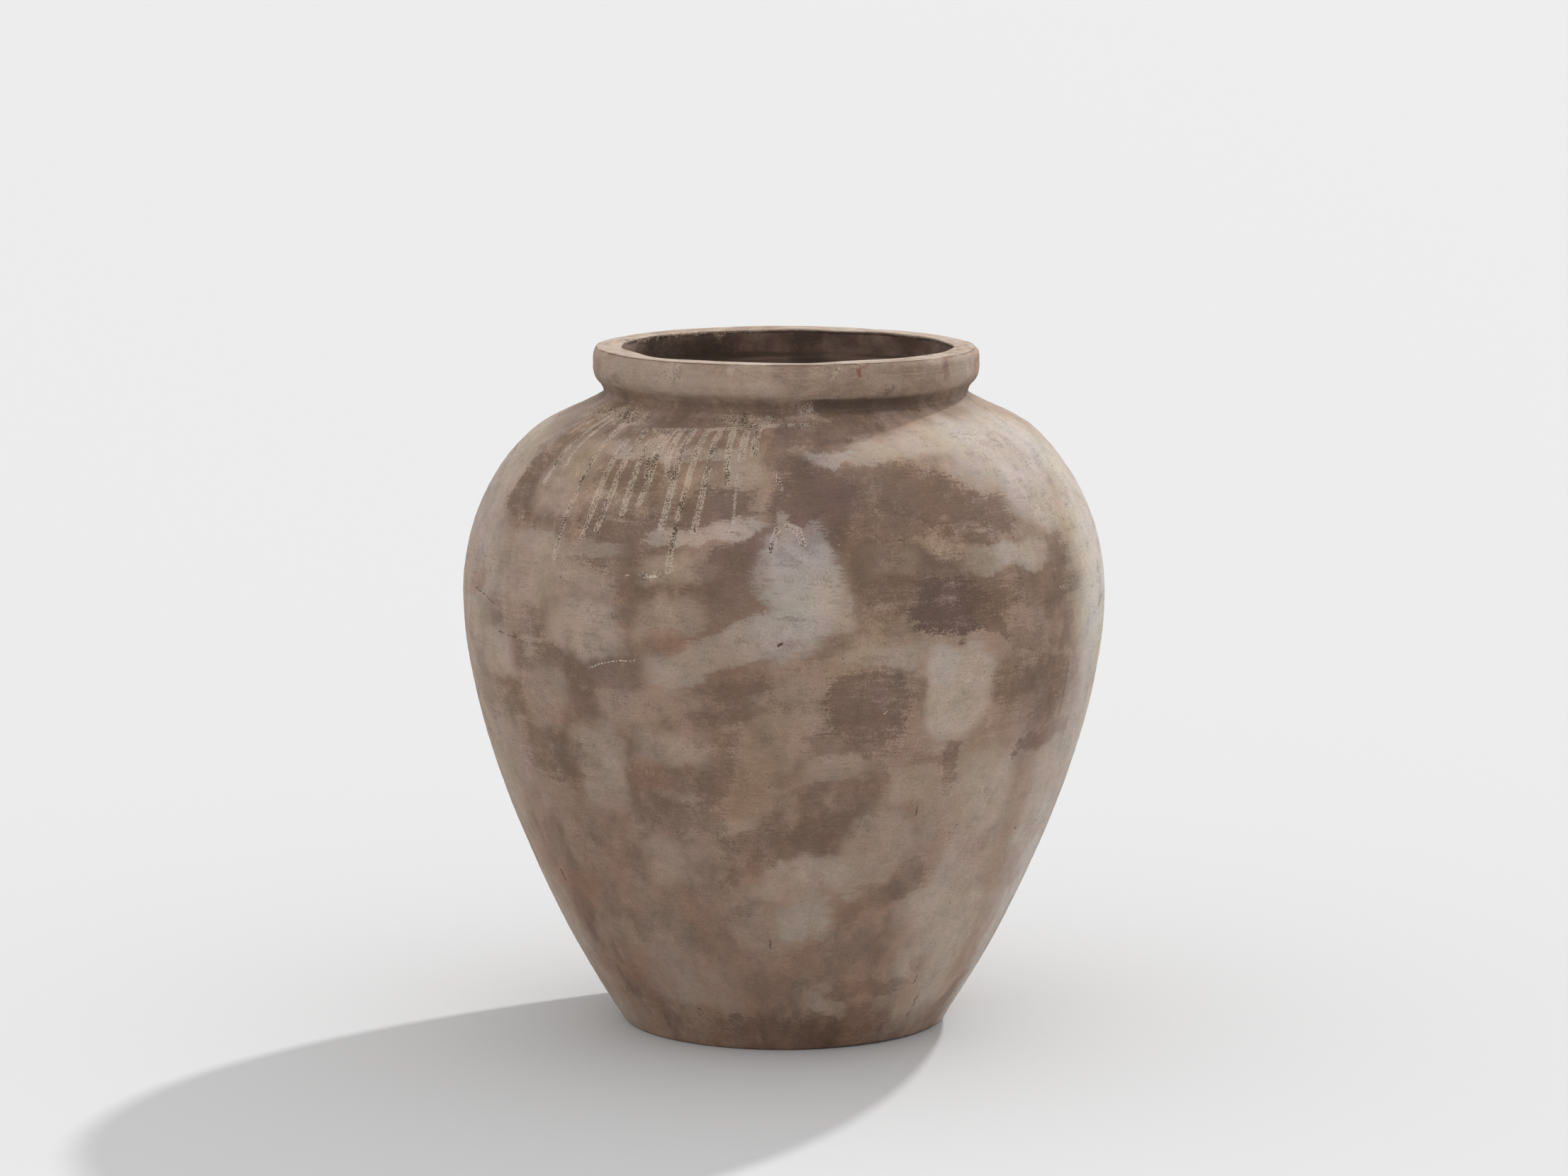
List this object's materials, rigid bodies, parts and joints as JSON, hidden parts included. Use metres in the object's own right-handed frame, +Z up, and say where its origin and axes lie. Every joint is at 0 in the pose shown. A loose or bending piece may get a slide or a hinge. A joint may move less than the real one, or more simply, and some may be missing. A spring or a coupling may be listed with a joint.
{
  "type": "jar planter",
  "caption": "Large round-bellied jar planter of fired clay with a rolled rim, a wide mouth, a narrower flat foot and a pull-out rubber plug in its drain hole.",
  "frame": {"origin": "on the ground, in the middle of the foot's underside, on the jar's turning axis", "axes": "+Z up along the turning axis, out of the mouth; X and Y are any two level directions, with -Y the side that faces the picture's camera"},
  "size_m": [0.863, 0.863, 0.915],
  "materials": {
    "fired_clay": "unglazed low-fired clay, matt and slightly rough, brushed with a thin pale grey-beige wash over grey-brown, with drips, rubbed patches and small pits",
    "plug_rubber": "matt black moulded rubber"
  },
  "bodies": {
    "jar": {"jar": "fired_clay"},
    "plug": {"drain_plug": "plug_rubber"}
  },
  "joints": [
    {"name": "plug_lift", "type": "slide", "parent": "jar", "child": "plug", "axis": [0, 0, 1], "range_m": [0, 0.95]}
  ]
}
